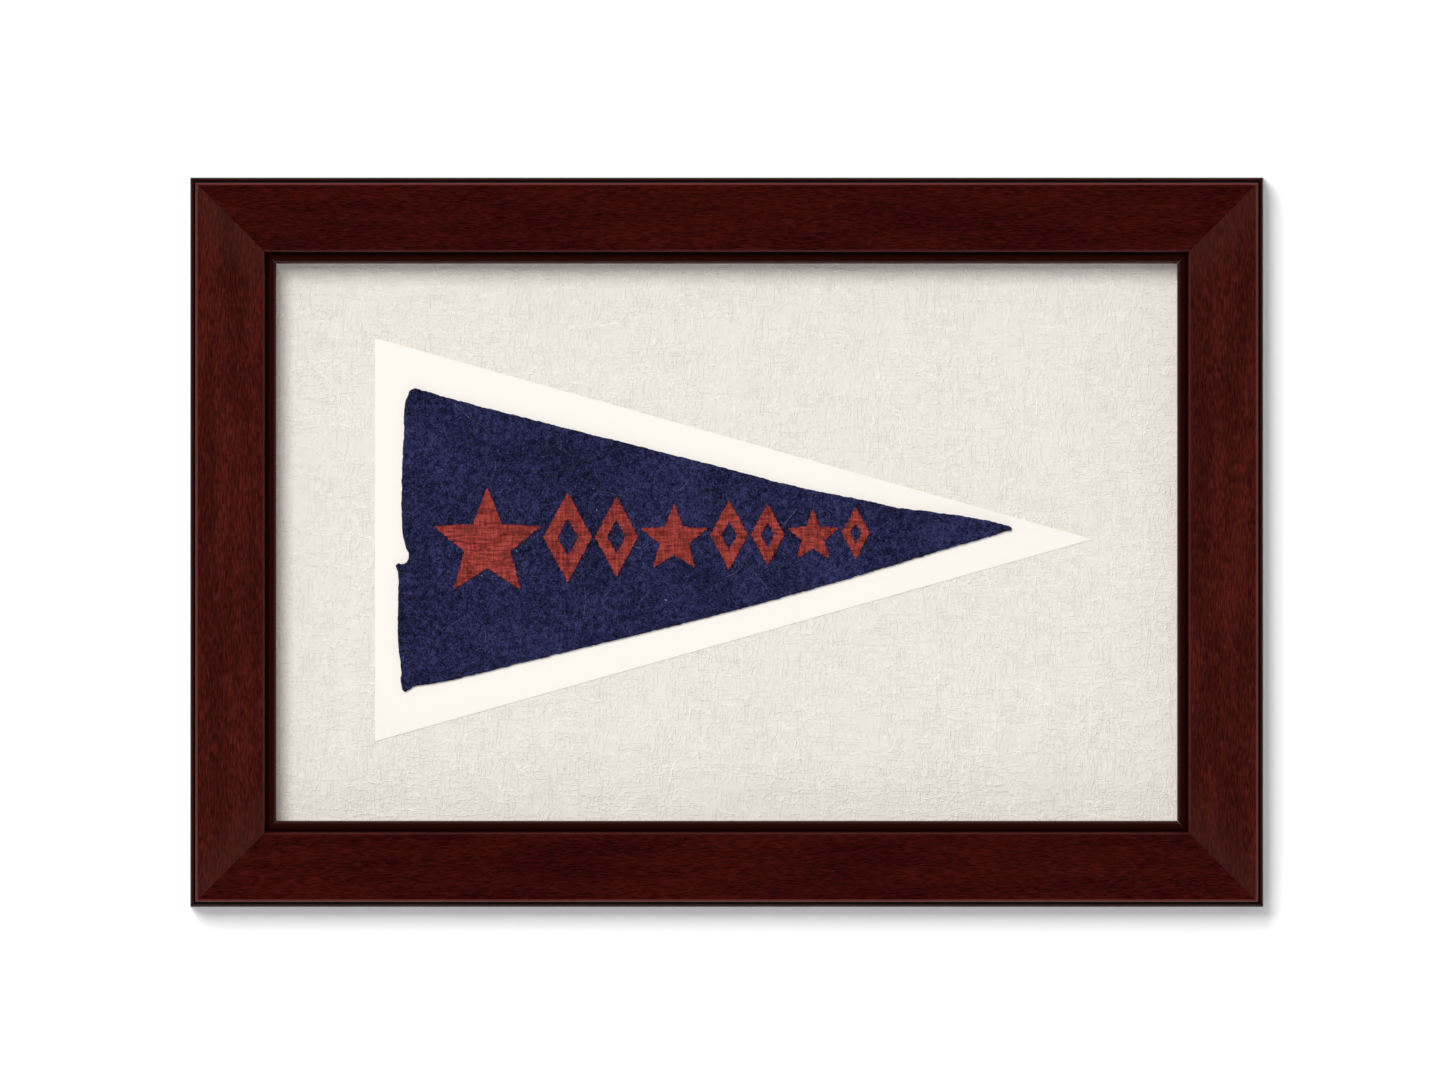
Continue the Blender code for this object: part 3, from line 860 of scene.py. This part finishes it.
def grow(name, host, graph, sizes, material):
    """Runs the tree on a copy of the host, and keeps what grew as a plain mesh."""
    piece = add_object(name, host.data.copy())
    modifier = piece.modifiers.new("grow", "NODES")
    modifier.node_group = graph.tree
    for item in graph.tree.interface.items_tree:
        if item.name in sizes:
            modifier[item.identifier] = sizes[item.name]
    bpy.context.view_layer.update()
    grown = piece.evaluated_get(bpy.context.evaluated_depsgraph_get())
    mesh = bpy.data.meshes.new_from_object(grown)
    piece.modifiers.clear()
    piece.data = mesh
    mesh.name = name
    if not mesh.materials:
        mesh.materials.append(material)
    return piece


def front_faces(graph):
    """True on the faces that look out of the frame."""
    normal = graph.node("GeometryNodeInputNormal")
    outward = graph.node("ShaderNodeSeparateXYZ", None, {0: normal}, "Y")
    return graph.node("FunctionNodeCompare", {"data_type": "FLOAT", "operation": "LESS_THAN"},
                      {0: outward, 1: -0.3})


def fibre_graph(material):
    """Short bent strands scattered on a cloth, nearly flat on it and shorter at its rim."""
    graph, size = geometry_graph("matted fibres", ("Density", "Length", "Radius"))
    points = graph.node("GeometryNodeDistributePointsOnFaces", {"distribute_method": "RANDOM"},
                        {"Mesh": size["Surface"], "Selection": front_faces(graph),
                         "Density": size["Density"], "Seed": SEED})
    middle = graph.node("ShaderNodeCombineXYZ", None, {"X": size["Length"] * 0.5,
                                                       "Z": size["Length"] * 0.22})
    end = graph.node("ShaderNodeCombineXYZ", None, {"X": size["Length"]})
    strand = graph.node("GeometryNodeCurveQuadraticBezier", None,
                        {"Resolution": 3, "Middle": middle, "End": end, "Start": (0, 0, 0)})
    profile = graph.node("GeometryNodeCurvePrimitiveCircle", None,
                         {"Resolution": 3, "Radius": size["Radius"]})
    hair = graph.node("GeometryNodeCurveToMesh", None,
                      {"Curve": strand, "Profile Curve": profile, "Fill Caps": True})
    turn = graph.node("FunctionNodeRandomValue", {"data_type": "FLOAT_VECTOR"},
                      {0: (-0.25, 0.0, -0.25), 1: (0.25, 2 * math.pi, 0.25), "Seed": SEED + 1})
    stretch = graph.node("FunctionNodeRandomValue", {"data_type": "FLOAT"},
                         {2: 0.5, 3: 1.5, "Seed": SEED + 2}, 1)
    rim = graph.node("GeometryNodeInputNamedAttribute", {"data_type": "FLOAT"}, {"Name": "rim"})
    laid = graph.node("GeometryNodeInstanceOnPoints", None,
                      {"Points": points, "Instance": hair, "Rotation": turn,
                       "Scale": stretch * rim})
    finish_tree(graph, laid, material)
    return graph


def slub_graph(material):
    """Thick places in the linen's threads: raised wandering lines, upright or level."""
    graph, size = geometry_graph("slub threads", ("Density", "Length", "Radius", "Wander"))
    points = graph.node("GeometryNodeDistributePointsOnFaces", {"distribute_method": "RANDOM"},
                        {"Mesh": size["Surface"], "Selection": front_faces(graph),
                         "Density": size["Density"], "Seed": SEED + 3})
    end = graph.node("ShaderNodeCombineXYZ", None, {"X": size["Length"]})
    line = graph.node("GeometryNodeCurvePrimitiveLine", None, {"Start": (0, 0, 0), "End": end})
    line = graph.node("GeometryNodeResampleCurve", None, {"Curve": line, "Count": 10})
    level = graph.node("FunctionNodeRandomValue", {"data_type": "BOOLEAN"},
                       {"Probability": 0.42, "Seed": SEED + 4}, 3)
    slant = graph.node("FunctionNodeRandomValue", {"data_type": "FLOAT"},
                       {2: -0.35, 3: 0.35, "Seed": SEED + 5}, 1)
    angle = level * (math.pi / 2) + slant
    turn = graph.node("ShaderNodeCombineXYZ", None, {"Y": angle})
    stretch = graph.node("FunctionNodeRandomValue", {"data_type": "FLOAT"},
                         {2: 0.35, 3: 1.5, "Seed": SEED + 6}, 1)
    laid = graph.node("GeometryNodeInstanceOnPoints", None,
                      {"Points": points, "Instance": line, "Rotation": turn, "Scale": stretch})
    real = graph.node("GeometryNodeRealizeInstances", None, {0: laid})
    here = graph.node("GeometryNodeInputPosition")
    push = graph.node("ShaderNodeTexNoise", None, {"Vector": here, "Scale": 150.0, "Detail": 1.0},
                      "Color")
    centred = graph.node("ShaderNodeVectorMath", {"operation": "SUBTRACT"},
                         {0: push, 1: (0.5, 0.5, 0.5)})
    reach = graph.node("ShaderNodeCombineXYZ", None, {"X": size["Wander"], "Z": size["Wander"]})
    offset = graph.node("ShaderNodeVectorMath", {"operation": "MULTIPLY"}, {0: centred, 1: reach})
    bent = graph.node("GeometryNodeSetPosition", None, {"Geometry": real, "Offset": offset})
    profile = graph.node("GeometryNodeCurvePrimitiveCircle", None,
                         {"Resolution": 4, "Radius": size["Radius"]})
    threads = graph.node("GeometryNodeCurveToMesh", None,
                         {"Curve": bent, "Profile Curve": profile, "Fill Caps": True})
    finish_tree(graph, threads, material)
    return graph


def add_stray_hairs(material):
    """Long fine hairs and specks of lint that have settled on the felt."""
    shaker = np.random.default_rng(SEED + 9)
    loops = outlines_of("pennant")
    low, high = loops[0].min(axis=0), loops[0].max(axis=0)
    vertices, faces = [], []
    starts = shaker.uniform(low, high, (HAIR_TRIES, 2))
    starts = starts[inside(loops, starts)]
    starts = starts[nearest_edge(loops, starts)[0] > HAIR_MARGIN][:HAIR_COUNT]
    for number, start in enumerate(starts):
        long_one = number % 2 == 0
        length = shaker.uniform(9, 20) * MM if long_one else shaker.uniform(0.5, 1.3) * MM
        half_width = (0.03 if long_one else shaker.uniform(0.05, 0.18)) * MM
        heading = shaker.uniform(0, 2 * math.pi)
        steps = 14 if long_one else 2
        place = start.copy()
        points = []
        bend = shaker.normal(0, 0.06)
        for _ in range(steps + 1):
            points.append((place[0], -(felt_height(place[0], place[1], 1.0) + HAIR_LIFT), place[1]))
            heading += bend + shaker.normal(0, 0.10)
            place = place + np.array([math.cos(heading), math.sin(heading)]) * length / steps
        if not inside(loops, np.array([place]))[0]:
            continue
        points = np.array(points)
        along = points[-1] - points[0]
        sideways = np.array([-along[2], 0.0, along[0]])
        sideways /= max(np.linalg.norm(sideways), 1e-9)
        add_tube(vertices, faces, points, half_width, half_width, sideways)
    hairs = add_piece("stray_hairs", vertices, faces, material, 60)
    fit(hairs, "navy_felt")


def add_stage():
    """The pale wall behind the frame, open where the frame covers it, and a pale floor."""
    wall_half, hole_inset, wall_gap = 1.6, 4 * MM, 0.5 * MM
    hole_x, hole_z = cad_high.x - hole_inset, cad_high.z - hole_inset
    corners = [(-1, -1), (1, -1), (1, 1), (-1, 1)]
    vertices = [(x * wall_half, wall_gap, z * wall_half) for x, z in corners]
    vertices += [(x * hole_x, wall_gap, z * hole_z) for x, z in corners]
    faces = [(i, (i + 1) % 4, 4 + (i + 1) % 4, 4 + i) for i in range(4)]
    mesh = bpy.data.meshes.new("wall")
    mesh.from_pydata(vertices, [], faces)
    mesh.materials.append(plain_wall("pale wall"))
    wall = add_object("wall", mesh)
    floor_mesh = bpy.data.meshes.new("floor")
    floor_mesh.from_pydata([(x * wall_half, y, -wall_half) for x, y in
                            ((-1, -wall_half), (1, -wall_half), (1, wall_half), (-1, wall_half))],
                           [], [(0, 1, 2, 3)])
    pale, _, _ = new_material("pale floor", {"Base Color": (0.9, 0.9, 0.9, 1.0)})
    floor_mesh.materials.append(pale)
    floor = add_object("floor", floor_mesh)


def add_key_light():
    """A large soft panel, far up on the left, parallel to the wall."""
    data = bpy.data.lights.new("key", "AREA")
    data.shape = "RECTANGLE"
    data.size = KEY_SIZE[0] * KEY_DISTANCE
    data.size_y = KEY_SIZE[1] * KEY_DISTANCE
    data.energy = KEY_POWER
    lamp = add_object("key", data)
    lamp.location = (KEY_CENTRE[0] * KEY_DISTANCE, -KEY_DISTANCE, KEY_CENTRE[1] * KEY_DISTANCE)
    lamp.rotation_euler = (math.pi / 2, 0, 0)
    lamp.visible_camera = False
    lamp.visible_glossy = False


def add_fill_light():
    """An even light from the front that casts no shadows."""
    data = bpy.data.lights.new("fill", "SUN")
    data.energy = FILL_STRENGTH * math.pi
    data.angle = math.radians(40)
    data.use_shadow = False
    lamp = add_object("fill", data)
    lamp.rotation_euler = (math.pi / 2, 0, 0)
    lamp.visible_glossy = False


def add_world():
    """White to the camera. As light it is dim in front, where flat varnish would mirror it."""
    world = bpy.data.worlds.new("studio")
    bpy.context.scene.world = world
    world.use_nodes = True
    graph = Graph(world.node_tree)
    way = graph.node("ShaderNodeTexCoord", output="Generated")
    ahead = graph.node("ShaderNodeSeparateXYZ", None, {0: way}, "Y")
    glow = (ahead + 0.9).fade(0.0, 0.35) * 0.29 + 0.01 + ahead.fade(0.0, 0.3) * 0.5
    seen = graph.node("ShaderNodeLightPath", output="Is Camera Ray")
    strength = seen + (1.0 - seen) * glow
    background = world.node_tree.nodes["Background"]
    background.inputs["Color"].default_value = (1.0, 1.0, 1.0, 1.0)
    world.node_tree.links.new(strength.socket, background.inputs["Strength"])


def add_camera():
    """Straight on, framed as the photograph is, with no perspective."""
    data = bpy.data.cameras.new("camera")
    data.type = "ORTHO"
    data.ortho_scale = PHOTO_WIDTH * PIXEL
    camera = add_object("camera", data)
    camera.location = ((PHOTO_WIDTH / 2 - FRAME_CENTRE_PX[0]) * PIXEL, -2.0,
                       (FRAME_CENTRE_PX[1] - PHOTO_HEIGHT / 2) * PIXEL)
    camera.rotation_euler = (math.pi / 2, 0, 0)
    bpy.context.scene.camera = camera


def build():
    bpy.context.scene.view_settings.view_transform = "Standard"
    add_camera()
    add_world()
    add_key_light()
    add_fill_light()
    add_stage()

    level_wood = mahogany("mahogany_level", False, LEVEL_WOOD, 0.0)
    upright_wood = mahogany("mahogany_upright", True, UPRIGHT_WOOD_WITH_SHEEN, 0.35)
    size_x, size_z = cad_high.x - cad_low.x, cad_high.z - cad_low.z
    add_rail("top", (0, 1), size_x, size_z, level_wood)
    add_rail("bottom", (0, -1), size_x, size_z, level_wood)
    add_rail("left", (-1, 0), size_z, size_x, upright_wood)
    add_rail("right", (1, 0), size_z, size_x, upright_wood)

    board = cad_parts["backing_board"]
    board.data.materials.clear()
    board.data.materials.append(fibreboard("brown_board"))

    linen = add_linen(linen_cloth("linen_weave", LINEN))
    # The slubs are coloured 12 to 22% lighter than the linen: a painted highlight on the raised
    # threads.
    thread = fibre("linen_thread", lit(scaled(LINEN, 1.12)), lit(scaled(LINEN, 1.22)))
    slubs = grow("linen_slubs", linen, slub_graph(thread), SLUBS, thread)
    fit(slubs, "linen")

    add_card(smooth_card("cream_mount", CREAM))
    felt = add_felt(wool_felt("navy_wool"))
    fuzz_wool = fibre("navy_fibre", *NAVY_FIBRE)
    fuzz = grow("felt_fuzz", felt, fibre_graph(fuzz_wool), STRANDS, fuzz_wool)
    fit(fuzz, "navy_felt")
    add_stray_hairs(fibre("pale_lint", *PALE_LINT))
    add_motifs(red_weave("red_cotton"), fibre("red_ground_shade", *GROUND_SHADE))


build()
